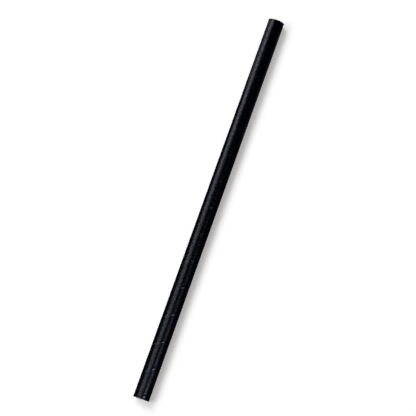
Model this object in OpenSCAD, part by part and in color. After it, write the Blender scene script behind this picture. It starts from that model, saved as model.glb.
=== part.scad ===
// Spiral-wound paper drinking straw, lying on its side along X.
// Three strips of paper are wound on a mandrel at one lead and glued into one
// laminated tube, which is then cut square at both ends. The edges of each strip
// meet in a butt seam. The outer ply's seam shows outside and the inner ply's in the bore.
// The origin is on the surface that the straw lies on, under the middle of its length.

/* [Tube] */
// Length between the two cut ends
straw_len = 197; // [120:1:260]
// Outside diameter
outside_d = 8; // [6:0.1:12]

/* [Plies] */
// Thickness of one ply of paper with its glue
ply_t = 0.14; // [0.08:0.01:0.2]
// Number of plies in the wall
ply_count = 3; // [2:1:4]

/* [Winding] */
// Width of the strip that makes a ply
strip_w = 11.93; // [9:0.01:15]
// Gap between the edges of the outer strip where they meet
outer_gap = 0.15; // [0.1:0.05:0.5]
// Depth of the outer seam, above the glue that fills it
seam_groove = 0.03; // [0.02:0.01:0.08]
// Gap between the edges of the inner strip where they meet
inner_gap = 0.3; // [0.1:0.05:0.5]
// Where the outer seam crosses the top line, along X from the middle
seam_at = -0.95; // [-6:0.05:6]

/* [Hidden] */
$fn = 96;

outside_r = outside_d / 2;
wall_t = ply_t * ply_count;
inside_r = outside_r - wall_t;

// The strip is wound so that its edges meet, which sets the lead of one turn.
outside_c = PI * outside_d;
wound_w = strip_w + outer_gap;
lead = wound_w * outside_c / sqrt(outside_c * outside_c - wound_w * wound_w);

// Each ply is laid a share of the lead behind the one under it.
inner_seam_at = seam_at + lead * (ply_count - 1) / ply_count;

// The seams are cut by a section that turns as it runs past both ends.
run_out = 1;
seam_len = straw_len + 2 * run_out;
steps_per_turn = 24;
seam_turns = seam_len / lead;
seam_steps = ceil(seam_turns * steps_per_turn);
chord_share = cos(180 / steps_per_turn);

// Angle of the lead at radius r, measured from the circumference
function lead_angle(r) = atan(lead / (2 * PI * r));

// Half the angle that a gap between strip edges takes up in the tube's cross-section
function half_gap_angle(gap, r) = gap / sin(lead_angle(r)) / 2 / r * 180 / PI;

// Turns a section with its seam along X, so that the seam passes the top line at seam_x.
module along_lead(seam_x) {
    turned = 180 - 360 * (straw_len / 2 + run_out + seam_x) / lead;
    translate([0, 0, -run_out])
        rotate([0, 0, turned])
            linear_extrude(height = seam_len, twist = -360 * seam_turns,
                           slices = seam_steps, segments = 4, convexity = 20)
                children();
}

// Section of a seam with radial sides, from radius r_low to r_high
module seam_section(gap, r_wall, r_low, r_high) {
    half = half_gap_angle(gap, r_wall);
    polygon([
        for (corner = [[r_low, -half], [r_high, -half], [r_high, half], [r_low, half]])
            corner[0] * [cos(corner[1]), sin(corner[1])]
    ]);
}

// The edges of the outer ply, with glue between them up to just under the surface
module outer_seam() {
    along_lead(seam_at)
        seam_section(outer_gap, outside_r, outside_r - seam_groove, outside_r / chord_share + ply_t);
}

// The edges of the inner ply, seen in the bore
module inner_seam() {
    along_lead(inner_seam_at)
        seam_section(inner_gap, inside_r, inside_r * chord_share - ply_t, inside_r + ply_t);
}

// The laminated wall, upright and before its seams are cut
module wound_wall() {
    difference() {
        cylinder(h = straw_len, r = outside_r);
        translate([0, 0, -run_out])
            cylinder(h = seam_len, r = inside_r);
    }
}

module straw_tube() {
    color([0.03, 0.03, 0.03])
        translate([-straw_len / 2, 0, outside_r])
            rotate([0, 90, 0])
                difference() {
                    wound_wall();
                    outer_seam();
                    inner_seam();
                }
}

straw_tube();
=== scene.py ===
"""A black paper drinking straw, wound from strips, lying on a pale table."""

import math

import bpy
from mathutils import Matrix, Vector


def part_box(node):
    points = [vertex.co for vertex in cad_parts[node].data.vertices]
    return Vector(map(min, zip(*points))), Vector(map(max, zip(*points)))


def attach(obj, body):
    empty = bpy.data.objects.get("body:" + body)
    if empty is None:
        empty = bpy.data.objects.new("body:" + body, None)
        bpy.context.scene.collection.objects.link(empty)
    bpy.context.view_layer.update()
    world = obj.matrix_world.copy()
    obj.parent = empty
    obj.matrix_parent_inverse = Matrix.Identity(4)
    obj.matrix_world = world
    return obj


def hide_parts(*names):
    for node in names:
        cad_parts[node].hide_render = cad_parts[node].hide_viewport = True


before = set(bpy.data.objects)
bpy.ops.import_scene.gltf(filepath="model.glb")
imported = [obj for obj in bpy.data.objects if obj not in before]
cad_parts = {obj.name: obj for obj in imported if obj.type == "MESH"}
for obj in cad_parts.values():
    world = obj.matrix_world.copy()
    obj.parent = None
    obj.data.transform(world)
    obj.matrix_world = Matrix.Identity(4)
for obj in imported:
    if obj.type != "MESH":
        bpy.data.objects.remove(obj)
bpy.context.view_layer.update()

MM = 0.001
MICRON = 0.001 * MM
FULL_TURN = 2 * math.pi

# Sizes of the straw, in metres. The tube's own come from the frame.
TUBE = "straw_tube"
tube_low, tube_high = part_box(TUBE)
HALF_LEN = (tube_high.x - tube_low.x) / 2
OUTSIDE_R = (tube_high.z - tube_low.z) / 2
AXIS_Z = (tube_high.z + tube_low.z) / 2
PLY_T = 0.14 * MM
PLY_COUNT = 3
INSIDE_R = OUTSIDE_R - PLY_T * PLY_COUNT

# The winding: strips of one width, laid side by side at one lead
STRIP_W = 11.93 * MM
OUTER_GAP = 0.15 * MM
INNER_GAP = 0.3 * MM
SEAM_AT = -0.95 * MM
WOUND_W = STRIP_W + OUTER_GAP
OUTSIDE_C = FULL_TURN * OUTSIDE_R
LEAD = WOUND_W * OUTSIDE_C / math.sqrt(OUTSIDE_C**2 - WOUND_W**2)
OUTER_SLOPE = math.atan2(LEAD, OUTSIDE_C)
INNER_SLOPE = math.atan2(LEAD, FULL_TURN * INSIDE_R)
# The angle round the tube that crosses one metre of the strip's width
TURN_PER_M = 1 / (OUTSIDE_R * math.sin(OUTER_SLOPE))
# The inner ply's seam, as an angle from the outer ply's
INNER_MID = FULL_TURN / PLY_COUNT

# The outer seam: a shallow groove, along the top of a rounded ridge where the strip's edges rise.
# The ridge falls off over its width on one side, and over more than that on the other.
GROOVE_DEPTH = 0.015 * MM
GROOVE_WALL = 0.07 * MM
RIDGE_H = 0.06 * MM
RIDGE_W = 0.42 * MM
RIDGE_FAR_SHARE = 1.5

# Relief of the inner seam, of both faces and of the cut ends
INNER_WALL = 0.025 * MM
OUTER_RIPPLE = 0.012 * MM
BORE_RIPPLE = 0.01 * MM
RIM = 0.05 * MM
RIM_DROP = 0.6 * RIM
PLY_DIP = 0.02 * MM
RAGGED = 0.012 * MM

# The photograph's camera, found from the straw's outline
IMAGE_PX = 416
FOCAL_PX = 1434.3
SENSOR_MM = 36
CAMERA_AT = Vector((-98.5, 0.87, 695.2)) * MM
CAMERA_AIM = Vector((-0.89, 0.73, 3.96)) * MM
CAMERA_ROLL = math.radians(19.58)

# Colours of the paper
OUTSIDE_BLACK = (0.0002, 0.0004, 0.0021)
BORE_BLACK = (0.0012, 0.0012, 0.0024)
WORN_FIBRE = (0.02, 0.02, 0.024)
CUT_BLACK = (0.003, 0.003, 0.0032)
CUT_FIBRE = (0.026, 0.026, 0.027)
PAPER_IOR = 1.5

# The table looks white: daylight gives a part of that, and its own glow the part that stays in shadow
TABLE_HALF = 3.0
TABLE_GREY = 0.88
GLOW = 0.425
GLOW_COLOUR = (1.0, 0.972, 0.962)
DAYLIGHT = (1.0, 1.02, 1.027)

# The room's walls near the horizon, and its ceiling
WALL_GLOW = 0.3
CEILING_GLOW = 0.01

# Lamps that the straw mirrors. They face its middle from this far away.
LAMP_REACH = 0.7
COOL = (1.0, 1.01, 1.13)
COOLER = (1.0, 1.01, 1.25)
CARD_COLOUR = (1.0, 1.02, 1.3)
CARD_Z = 0.5 * MM


class Wire:
    """An output of a node tree, on which arithmetic adds Math or Vector Math nodes."""

    def __init__(self, tree, output):
        self.tree = tree
        self.output = output

    def math(self, operation, *others):
        values = (self, *others)
        many = any(isinstance(v, Wire) and v.output.type in ("VECTOR", "RGBA") for v in values)
        kind = "ShaderNodeVectorMath" if many else "ShaderNodeMath"
        return self.tree.add(kind, {"operation": operation}, dict(enumerate(values)))[0]

    def __add__(self, other):
        return self.math("ADD", other)

    def __sub__(self, other):
        return self.math("SUBTRACT", other)

    def __rsub__(self, other):
        return self.tree.number(other).math("SUBTRACT", self)

    def __mul__(self, other):
        return self.math("MULTIPLY", other)

    def __truediv__(self, other):
        return self.math("DIVIDE", other)

    def __neg__(self):
        return self.math("MULTIPLY", -1.0)

    def part(self, axis):
        return self.tree.add("ShaderNodeSeparateXYZ", {}, {0: self})[axis]

    __radd__ = __add__
    __rmul__ = __mul__


class Outputs:
    """The outputs of one node, found by name or by place"""

    def __init__(self, tree, node):
        self.tree = tree
        self.node = node

    def __getitem__(self, key):
        return Wire(self.tree, self.node.outputs[key])


class Tree:
    """A node tree, with one method that adds any node to it, and short names for the common ones."""

    def __init__(self, nodes):
        self.nodes = nodes

    def add(self, kind, settings=None, values=None):
        """Adds a node, sets it up, then fills its sockets. Returns its outputs."""
        node = self.nodes.nodes.new(kind)
        for name, value in (settings or {}).items():
            setattr(node, name, value)
        for key, value in (values or {}).items():
            socket = node.inputs[key]
            if isinstance(value, Wire):
                self.nodes.links.new(value.output, socket)
            elif socket.type in ("VECTOR", "RGBA") and isinstance(value, (int, float)):
                socket.default_value = [value] * len(socket.default_value)
            else:
                socket.default_value = value
        return Outputs(self, node)

    def number(self, value):
        if isinstance(value, Wire):
            return value
        return self.add("ShaderNodeMath", {}, {0: value, 1: 0.0})[0]

    def ramp(self, value, start, end, low=0.0, high=1.0, shape="LINEAR"):
        """value between start and end, as a number between low and high, held at both ends"""
        names = {"Value": value, "From Min": start, "From Max": end, "To Min": low, "To Max": high}
        return self.add("ShaderNodeMapRange", {"interpolation_type": shape}, names)["Result"]

    def smooth(self, value, start, end, low=0.0, high=1.0):
        return self.ramp(value, start, end, low, high, "SMOOTHSTEP")

    def join(self, x, y, z):
        return self.add("ShaderNodeCombineXYZ", {}, {0: x, 1: y, 2: z})[0]

    def noise(self, place, scale, detail=2.0, roughness=0.5):
        values = {"Vector": place, "Scale": scale, "Detail": detail, "Roughness": roughness}
        return self.add("ShaderNodeTexNoise", {"noise_dimensions": "3D"}, values)[0]

    def bump(self, height):
        """A normal for relief whose height is in metres"""
        return self.add("ShaderNodeBump", {}, {"Strength": 1.0, "Distance": 1.0, "Height": height})[0]

    def blend(self, share, first, second):
        """A colour between two"""
        values = {0: share, 6: (*first, 1.0), 7: (*second, 1.0)}
        return self.add("ShaderNodeMix", {"data_type": "RGBA"}, values)[2]

    def paper(self, colour, roughness, gloss, normal):
        """A plain paper surface"""
        values = {"Base Color": colour, "Roughness": roughness, "IOR": PAPER_IOR}
        values.update({"Specular IOR Level": gloss, "Normal": normal})
        return self.add("ShaderNodeBsdfPrincipled", {}, values)[0]

    def over(self, share, under, top):
        """One shader laid over another"""
        return self.add("ShaderNodeMixShader", {}, {0: share, 1: under, 2: top})[0]


def new_material(name):
    """An empty material and its tree"""
    material = bpy.data.materials.new(name)
    material.use_nodes = True
    material.node_tree.nodes.clear()
    return material, Tree(material.node_tree)


STRIP_MAP = "strip"


def on_strip(tree):
    """Where a point is on the paper, in millimetres: along the strip, and across it"""
    place = tree.add("ShaderNodeUVMap", {"uv_map": STRIP_MAP})[0] / MM
    return place, place.part(0), place.part(1)


def fibre_lines(tree, along, across, turn):
    """Streaks a few hundredths of a millimetre wide, turned from the strip's length"""
    u = along * math.cos(turn) + across * math.sin(turn)
    v = across * math.cos(turn) - along * math.sin(turn)
    return tree.noise(tree.join(u * 1.1, v * 14.0, turn * 7.0), 1.0, detail=1.0)


def black_paper(name, gloss, base, worn):
    """Dyed paper with a calendered face: cloudy, with fibres that lie mostly along the strip.

    Along the strip's edges glue has soaked the paper, which is smoother there."""
    material, tree = new_material(name)
    strip, along, across = on_strip(tree)
    cloud = tree.noise(strip, 0.55, detail=2.0, roughness=0.6)
    mottle = tree.noise(strip, 1.25, detail=1.5, roughness=0.55)
    pores = tree.noise(strip, 3.1, detail=1.0)
    grain = tree.noise(strip, 11.0, detail=2.0)
    lengthways = fibre_lines(tree, along, across, 0.0)
    crossing = fibre_lines(tree, along, across, 0.6)
    leaning = fibre_lines(tree, along, across, -0.75)
    felt = lengthways * 0.5 + crossing * 0.25 + leaning * 0.25

    clouds = cloud * (40 * MICRON) + mottle * (52 * MICRON)
    fine = pores * (14 * MICRON) + felt * (3 * MICRON) + grain * (3 * MICRON)
    height = clouds + fine
    bump = tree.bump(height)

    # The calendered face
    shade = 0.4 + cloud * 0.6 + tree.smooth(felt, 0.55, 0.8) * 1.5
    colour = tree.blend(shade * worn, base, WORN_FIBRE)
    roughness = 0.165 + mottle * 0.1 + tree.smooth(grain, 0.3, 0.8) * 0.04
    satin = tree.paper(colour, roughness, gloss, bump)

    # Glue along both edges, wider along one, and uneven along the strip
    wide_smear = tree.smooth(WOUND_W / MM - across, 0.35, 0.55, 1.0, 0.0)
    thin_smear = tree.smooth(across, 0.04, 0.12, 1.0, 0.0)
    stain = tree.noise(tree.join(along * 1.3, 0.0, 3.0), 1.0, detail=2.0)
    glued = wide_smear.math("MAXIMUM", thin_smear) * tree.smooth(stain, 0.3, 0.6, 0.5, 1.0)
    soaked = tree.paper(colour, 0.2, gloss * 0.88, tree.bump(height * 0.4))
    face = tree.over(glued, satin, soaked)

    # Paper loses its gloss at a glancing angle, and in the hollows between the fibres
    matte = tree.paper(colour, 0.9, 0.0, bump)
    facing = tree.add("ShaderNodeLayerWeight", {}, {"Blend": 0.5})["Facing"]
    fade = tree.smooth(facing, 0.16, 0.38, 0.0, 0.9) + tree.smooth(facing, 0.45, 0.7, 0.0, 0.1)
    dull = tree.smooth(mottle, 0.38, 0.6, 0.57, 0.0) * (1 - glued)
    hidden = 1 - (1 - fade) * (1 - dull)
    shown = tree.over(hidden, face, matte)
    tree.add("ShaderNodeOutputMaterial", {}, {"Surface": shown})
    return material


def cut_paper(name):
    """The plies' cut edges: open fibres that lie round the tube, with dark glue between the plies"""
    material, tree = new_material(name)
    _, around, outward = on_strip(tree)
    place = tree.add("ShaderNodeTexCoord")["Object"] / MM
    specks = tree.noise(place, 18.0, detail=2.0)
    layers = tree.noise(tree.join(around * 3.0, outward * 40.0, 0.0), 1.0, detail=2.0)
    in_ply = ((OUTSIDE_R / MM - outward) / (PLY_T / MM)).math("FRACT") - 0.5
    fibre = 1 - tree.smooth(in_ply.math("ABSOLUTE"), 0.36, 0.48)
    height = (specks * (12 * MICRON) + layers * (8 * MICRON)) * fibre
    shade = tree.smooth(specks * 0.4 + layers * 0.6, 0.38, 0.66) * fibre
    colour = tree.blend(shade, CUT_BLACK, CUT_FIBRE)
    paper = tree.paper(colour, 0.8, 0.15, tree.bump(height))
    tree.add("ShaderNodeOutputMaterial", {}, {"Surface": paper})
    return material


def turn_of(width):
    """An angle round the tube that crosses a width of strip"""
    return width * TURN_PER_M


# Stretches round the tube, from the middle of the outer seam, as how many steps and where they end.
# Steps are finer where the edges of the strips meet.
GROOVE_ZONE = turn_of(OUTER_GAP / 2 + 0.09 * MM)
RIDGE_ZONE = turn_of(1.0 * MM)
INNER_GAP_ZONE = turn_of(INNER_GAP / 2 + 0.03 * MM)
INNER_EDGE_ZONE = turn_of(0.5 * MM)
ROUND = [
    (5, GROOVE_ZONE),
    (10, RIDGE_ZONE),
    (9, INNER_MID - INNER_EDGE_ZONE),
    (4, INNER_MID - INNER_GAP_ZONE),
    (6, INNER_MID + INNER_GAP_ZONE),
    (4, INNER_MID + INNER_EDGE_ZONE),
    (22, FULL_TURN - RIDGE_ZONE),
    (10, FULL_TURN - GROOVE_ZONE),
    (5, FULL_TURN),
]
OUTSIDE_STEPS = 540
BORE_STEPS = 300
RIM_STEPS = 3
WALL_STEPS = 12


def lengthwise(steps):
    """Stretches along the tube, with finer steps at the rims"""
    return [(RIM_STEPS, RIM - HALF_LEN), (steps, HALF_LEN - RIM), (RIM_STEPS, HALF_LEN)]


def total_steps(stretches):
    return sum(steps for steps, end in stretches)


def spread(tree, count, start, stretches):
    """Turns a whole number that counts up from 0 into places along stretches, each with its own step"""
    place = tree.number(start)
    first = 0
    before = start
    for steps, end in stretches:
        place = place + tree.ramp(count, first, first + steps, 0.0, end - before)
        first += steps
        before = end
    return place


def grid(tree, across_steps):
    """A grid with columns round the tube, and its two counts, which start at 0"""
    columns = total_steps(ROUND) + 1
    sizes = {"Vertices X": across_steps + 1, "Vertices Y": columns}
    made = tree.add("GeometryNodeMeshGrid", {}, sizes)
    index = tree.add("GeometryNodeInputIndex")[0]
    row = (index / columns).math("FLOOR")
    return made["Mesh"], row, index - row * columns


class WoundWall:
    """Fields that describe the straw's wall, for the tree that builds it.

    An angle is measured from the middle of the outer seam, and a turn from the tube's top line."""

    def __init__(self, tree, group):
        self.tree = tree
        self.group = group

    def seam_turn(self, x):
        """Turn of the outer seam, at x"""
        return (x - self.group["Seam At"]) * (FULL_TURN / LEAD)

    def place(self, x, r, turn):
        height = (r * turn.math("COSINE") + AXIS_Z).math("MAXIMUM", 0.0)
        return self.tree.join(x, -(r * turn.math("SINE")), height)

    def waver(self, x, turn, scale, shift):
        """Slow noise over the tube's surface, between -1 and 1. Each use has its own shift."""
        tree = self.tree
        spot = tree.join(x + shift, OUTSIDE_R * turn.math("SINE"), OUTSIDE_R * turn.math("COSINE"))
        return (tree.noise(spot / MM, scale, detail=1.0) - 0.5) * 2.0

    def rim_drop(self, x):
        """How far a rim is rounded off near a cut end"""
        inward = (HALF_LEN - x.math("ABSOLUTE")) / RIM
        t = self.tree.ramp(inward, 0.0, 1.0, 1.0, 0.0)
        return t * t * RIM_DROP

    def outer_r(self, x, angle):
        """Radius of the outside"""
        tree = self.tree
        group = self.group
        turn = angle + self.seam_turn(x)
        near_side = angle / TURN_PER_M
        far_side = (FULL_TURN - angle) / TURN_PER_M

        half = group["Outer Gap"] * 0.5 * (1.0 + self.waver(x, turn, scale=0.35, shift=0.31) * 0.5)
        near_gap = tree.smooth(near_side, half - GROOVE_WALL, half + GROOVE_WALL, 1.0, 0.0)
        far_gap = tree.smooth(far_side, half - GROOVE_WALL, half + GROOVE_WALL, 1.0, 0.0)
        groove = near_gap.math("MAXIMUM", far_gap) * GROOVE_DEPTH

        near_rise = tree.smooth(near_side, 0.0, group["Ridge Width"], 1.0, 0.0)
        far_rise = tree.smooth(far_side, 0.0, group["Ridge Width"] * RIDGE_FAR_SHARE, 1.0, 0.0)
        uneven = 1.0 + self.waver(x, turn, scale=0.5, shift=0.77) * 0.6
        ridge = (near_rise + far_rise) * group["Ridge Height"] * uneven
        ripple = self.waver(x, turn, scale=0.16, shift=0.13) * OUTER_RIPPLE
        return OUTSIDE_R + ripple + ridge - groove - self.rim_drop(x)

    def inner_r(self, x, angle):
        """Radius of the bore"""
        off_seam = (angle - INNER_MID).math("ABSOLUTE") / TURN_PER_M
        half = self.group["Inner Gap"] * 0.5
        in_gap = self.tree.smooth(off_seam, half - INNER_WALL, half + INNER_WALL, 1.0, 0.0)
        turn = angle + self.seam_turn(x)
        ripple = self.waver(x, turn, scale=0.2, shift=0.53) * BORE_RIPPLE
        return INSIDE_R + ripple + in_gap * PLY_T + self.rim_drop(x)


PATCH_KIND = "patch_kind"
OUTSIDE, BORE, CUT_END = range(3)


def finish_patch(tree, mesh, position, strip, kind, flipped=False):
    """Moves a grid's points, and keeps where they are on the paper and which kind of patch this is"""
    by_point = {"data_type": "FLOAT_VECTOR", "domain": "POINT"}
    strip = tree.add("GeometryNodeFieldOnDomain", by_point, {0: strip})[0]
    by_corner = {"data_type": "FLOAT2", "domain": "CORNER"}
    values = {"Geometry": mesh, "Name": STRIP_MAP, "Value": strip}
    mesh = tree.add("GeometryNodeStoreNamedAttribute", by_corner, values)[0]
    by_face = {"data_type": "INT", "domain": "FACE"}
    values = {"Geometry": mesh, "Name": PATCH_KIND, "Value": kind}
    mesh = tree.add("GeometryNodeStoreNamedAttribute", by_face, values)[0]
    mesh = tree.add("GeometryNodeSetPosition", {}, {"Geometry": mesh, "Position": position})[0]
    if flipped:
        mesh = tree.add("GeometryNodeFlipFaces", {}, {"Mesh": mesh})[0]
    return mesh


def wrapped_grid(tree, wall, steps):
    """A grid to wrap round the tube, with each point's place along it, angle and turn"""
    rows = lengthwise(steps)
    mesh, row, column = grid(tree, total_steps(rows))
    x = spread(tree, row, -HALF_LEN, rows)
    angle = spread(tree, column, 0.0, ROUND)
    return mesh, x, angle, angle + wall.seam_turn(x)


def outside_patch(tree, wall):
    mesh, x, angle, turn = wrapped_grid(tree, wall, OUTSIDE_STEPS)
    round_way = (turn - FULL_TURN) * (OUTSIDE_R * math.cos(OUTER_SLOPE))
    along = x * math.sin(OUTER_SLOPE) + round_way
    across = (FULL_TURN - angle) / TURN_PER_M
    place = wall.place(x, wall.outer_r(x, angle), turn)
    return finish_patch(tree, mesh, place, tree.join(along, across, 0.0), OUTSIDE)


def bore_patch(tree, wall):
    mesh, x, angle, turn = wrapped_grid(tree, wall, BORE_STEPS)
    from_seam = (angle - INNER_MID).math("FLOORED_MODULO", FULL_TURN)
    round_way = (from_seam + wall.seam_turn(x)) * (INSIDE_R * math.cos(INNER_SLOPE))
    along = x * math.sin(INNER_SLOPE) + round_way
    across = (FULL_TURN - from_seam) * (INSIDE_R * math.sin(INNER_SLOPE))
    place = wall.place(x, wall.inner_r(x, angle), turn)
    return finish_patch(tree, mesh, place, tree.join(along, across, 0.0), BORE, True)


def cut_end_patch(tree, wall, side):
    """A cut end, where the plies' edges show as fine rings. side is -1 or 1."""
    mesh, row, column = grid(tree, WALL_STEPS)
    share = row / WALL_STEPS
    x = tree.number(side * HALF_LEN)
    angle = spread(tree, column, 0.0, ROUND)
    turn = angle + wall.seam_turn(x)
    outer = wall.outer_r(x, angle)
    r = outer + (wall.inner_r(x, angle) - outer) * share
    in_ply = (share * PLY_COUNT).math("FRACT") - 0.5
    dip = tree.smooth(in_ply.math("ABSOLUTE"), 0.3, 0.5) * PLY_DIP
    ragged = (wall.waver(r, turn, scale=6.0, shift=0.9) + 1.0) * RAGGED
    inside = tree.ramp((share - 0.5).math("ABSOLUTE"), 0.42, 0.5, 1.0, 0.0)
    place = wall.place(x - (dip + ragged) * inside * side, r, turn)
    return finish_patch(tree, mesh, place, tree.join(turn * OUTSIDE_R, r, 0.0), CUT_END, side > 0)


def wound_tube_tree(outside, bore, cut):
    """The whole wall as four patches: outside, bore and two cut ends, joined along their rims."""
    nodes = bpy.data.node_groups.new("wound_tube", "GeometryNodeTree")
    tree = Tree(nodes)
    sizes = {
        "Seam At": SEAM_AT,
        "Outer Gap": OUTER_GAP,
        "Inner Gap": INNER_GAP,
        "Ridge Height": RIDGE_H,
        "Ridge Width": RIDGE_W,
    }
    identifiers = {}
    for name, size in sizes.items():
        item = nodes.interface.new_socket(name=name, in_out="INPUT", socket_type="NodeSocketFloat")
        identifiers[item.identifier] = size
    nodes.interface.new_socket(name="Mesh", in_out="OUTPUT", socket_type="NodeSocketGeometry")

    wall = WoundWall(tree, tree.add("NodeGroupInput"))
    patches = [outside_patch(tree, wall), bore_patch(tree, wall)]
    patches += [cut_end_patch(tree, wall, side) for side in (-1, 1)]
    joined = tree.add("GeometryNodeJoinGeometry")
    for patch in reversed(patches):
        nodes.links.new(patch.output, joined.node.inputs[0])

    weld = {"Geometry": joined[0], "Distance": MICRON}
    mesh = tree.add("GeometryNodeMergeByDistance", {}, weld)[0]
    mesh = tree.add("GeometryNodeSetShadeSmooth", {}, {"Geometry": mesh, "Shade Smooth": True})[0]
    mesh = tree.add("GeometryNodeRealizeInstances", {}, {"Geometry": mesh})[0]
    kind = tree.add("GeometryNodeInputNamedAttribute", {"data_type": "INT"}, {"Name": PATCH_KIND})[0]
    mesh = tree.add("GeometryNodeSetMaterial", {}, {"Geometry": mesh, "Material": outside})[0]
    for number, material in ((BORE, bore), (CUT_END, cut)):
        chosen = kind.math("COMPARE", number, 0.5)
        values = {"Geometry": mesh, "Selection": chosen, "Material": material}
        mesh = tree.add("GeometryNodeSetMaterial", {}, values)[0]
    tree.add("NodeGroupOutput", {}, {"Mesh": mesh})
    return nodes, identifiers


def add_object(name, data):
    made = bpy.data.objects.new(name, data)
    bpy.context.scene.collection.objects.link(made)
    return made


def grown(name, nodes, identifiers):
    """Runs a Geometry Nodes tree on an empty mesh and keeps what it makes as a plain mesh"""
    seed = add_object(name + "_seed", bpy.data.meshes.new(name + "_seed"))
    modifier = seed.modifiers.new("grow", "NODES")
    modifier.node_group = nodes
    for identifier, value in identifiers.items():
        modifier[identifier] = value
    graph = bpy.context.evaluated_depsgraph_get()
    mesh = bpy.data.meshes.new_from_object(seed.evaluated_get(graph), depsgraph=graph)
    mesh.name = name
    bpy.data.objects.remove(seed)
    return add_object(name, mesh)


def pale_table():
    """A plain floor that looks white and keeps the straw's shadow"""
    mesh = bpy.data.meshes.new("table")
    corners = [(x * TABLE_HALF, y * TABLE_HALF, 0) for x, y in ((-1, -1), (1, -1), (1, 1), (-1, 1))]
    mesh.from_pydata(corners, [], [(0, 1, 2, 3)])
    floor = add_object("table", mesh)
    material, tree = new_material("table_top")
    paths = tree.add("ShaderNodeLightPath")
    seen = paths["Is Camera Ray"] + paths["Is Glossy Ray"] + paths["Is Transmission Ray"]
    strength = seen.math("MINIMUM", 1.0) * GLOW
    grey = (TABLE_GREY, TABLE_GREY, TABLE_GREY, 1.0)
    diffuse = tree.add("ShaderNodeBsdfDiffuse", {}, {"Color": grey})[0]
    values = {"Color": (*GLOW_COLOUR, 1.0), "Strength": strength}
    glow = tree.add("ShaderNodeEmission", {}, values)[0]
    both = tree.add("ShaderNodeAddShader", {}, {0: diffuse, 1: glow})[0]
    tree.add("ShaderNodeOutputMaterial", {}, {"Surface": both})
    mesh.materials.append(material)


def glowing_panel(name, width, height, radiance, colour, placing):
    """A rectangular lamp that shows only as a highlight"""
    lamp = bpy.data.lights.new(name, "AREA")
    lamp.shape = "RECTANGLE"
    lamp.size = width
    lamp.size_y = height
    lamp.color = colour
    lamp.energy = radiance * math.pi * width * height
    placed = add_object(name, lamp)
    placed.visible_diffuse = False
    placed.visible_camera = False
    placed.matrix_world = placing


def softbox(name, along, elevation, width, height, roll, radiance, colour):
    """A panel that faces the straw's line from the side. Angles are in degrees, and the rest in metres."""
    elevation = math.radians(elevation)
    roll = math.radians(roll)
    back = Vector((0, math.cos(elevation), math.sin(elevation)))
    side = Vector((math.cos(roll), 0, 0)) - back.cross(Vector((1, 0, 0))) * math.sin(roll)
    turned = Matrix((side, back.cross(side), back)).transposed().to_4x4()
    centre = back * LAMP_REACH + Vector((along, 0, 0))
    glowing_panel(name, width, height, radiance, colour, Matrix.Translation(centre) @ turned)


def edge_card(name, x_low, x_high, y_low, y_high, radiance):
    """A panel that lies face up on the table and shows on the straw's flank. Its edges are in mm."""
    centre = Vector(((x_low + x_high) / 2 * MM, (y_low + y_high) / 2 * MM, CARD_Z))
    placing = Matrix.Translation(centre) @ Matrix.Rotation(math.pi, 4, "X")
    width = (x_high - x_low) * MM
    height = (y_high - y_low) * MM
    glowing_panel(name, width, height, radiance, CARD_COLOUR, placing)


def window_light(name, towards, breadth, strength):
    """Part of the broad daylight that gives the straw its soft shadow. breadth is in degrees."""
    lamp = bpy.data.lights.new(name, "SUN")
    lamp.angle = math.radians(breadth)
    lamp.color = DAYLIGHT
    lamp.energy = strength
    placed = add_object(name, lamp)
    placed.visible_glossy = False
    placed.rotation_euler = Vector(towards).to_track_quat("Z", "Y").to_euler()


def dim_room():
    """Pale walls near the horizon and a dim ceiling"""
    world = bpy.data.worlds.new("room")
    bpy.context.scene.world = world
    world.use_nodes = True
    world.node_tree.nodes.clear()
    tree = Tree(world.node_tree)
    upward = tree.add("ShaderNodeTexCoord")["Generated"].part(2)
    strength = tree.smooth(upward, 0.12, 0.3, WALL_GLOW, CEILING_GLOW)
    values = {"Color": (1.0, 1.0, 1.0, 1.0), "Strength": strength}
    shown = tree.add("ShaderNodeBackground", {}, values)[0]
    tree.add("ShaderNodeOutputWorld", {}, {"Surface": shown})


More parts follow.
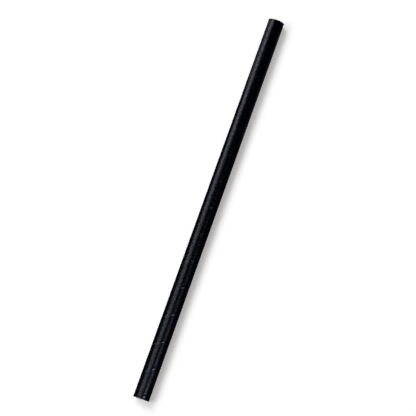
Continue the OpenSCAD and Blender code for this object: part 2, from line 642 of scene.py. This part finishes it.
def photo_camera():
    """The camera at the photograph's place, turned so that the straw leans as it does there"""
    lens = bpy.data.cameras.new("photo_camera")
    lens.sensor_fit = "HORIZONTAL"
    lens.sensor_width = SENSOR_MM
    lens.lens = FOCAL_PX * SENSOR_MM / IMAGE_PX
    lens.clip_start = 0.01
    lens.clip_end = 20
    camera = add_object("photo_camera", lens)
    back = (CAMERA_AT - CAMERA_AIM).normalized()
    lean = Vector((math.cos(CAMERA_ROLL), math.sin(CAMERA_ROLL), 0))
    up = (lean - back * lean.dot(back)).normalized()
    turned = Matrix((up.cross(back), up, back)).transposed().to_4x4()
    camera.matrix_world = Matrix.Translation(CAMERA_AT) @ turned
    bpy.context.scene.camera = camera


photo_camera()
dim_room()
pale_table()

# Daylight from the left, in two parts
window_light("window_light_near", (-0.298, 0.753, 1.0), 25.2, 0.994)
window_light("window_light_far", (0.417, 0.599, 1.0), 29.5, 1.553)

# The left highlight comes from two softboxes, and the right one from a strip and its spill
softbox("broad_softbox", along=-0.2997, elevation=53.0, width=0.795, height=0.727,
        roll=-45.8, radiance=9.6, colour=COOL)
softbox("low_softbox", along=0.4371, elevation=18.4, width=0.6215, height=0.761,
        roll=22.8, radiance=16.5, colour=COOL)
softbox("strip_softbox", along=-0.375, elevation=122.5, width=0.42, height=0.3514,
        roll=2.2, radiance=50.0, colour=COOLER)
softbox("strip_softbox_spill", along=-0.0825, elevation=122.5, width=0.165, height=0.3514,
        roll=2.2, radiance=3.5, colour=COOLER)

# Both flanks are lighter towards the end at the photo's upper right
edge_card("edge_card_left", x_low=68, x_high=170, y_low=12, y_high=70, radiance=16.0)
edge_card("edge_card_right", x_low=36, x_high=170, y_low=-20, y_high=-10, radiance=4.5)

outside_paper = black_paper("black_paper_outside", gloss=0.066, base=OUTSIDE_BLACK, worn=0.005)
bore_paper = black_paper("black_paper_bore", gloss=0.05, base=BORE_BLACK, worn=0.05)
cut_edge = cut_paper("black_paper_cut_edge")
tube = grown("wound_tube", *wound_tube_tree(outside_paper, bore_paper, cut_edge))
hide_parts(TUBE)
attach(tube, "root")

bpy.context.scene.view_settings.view_transform = "Standard"
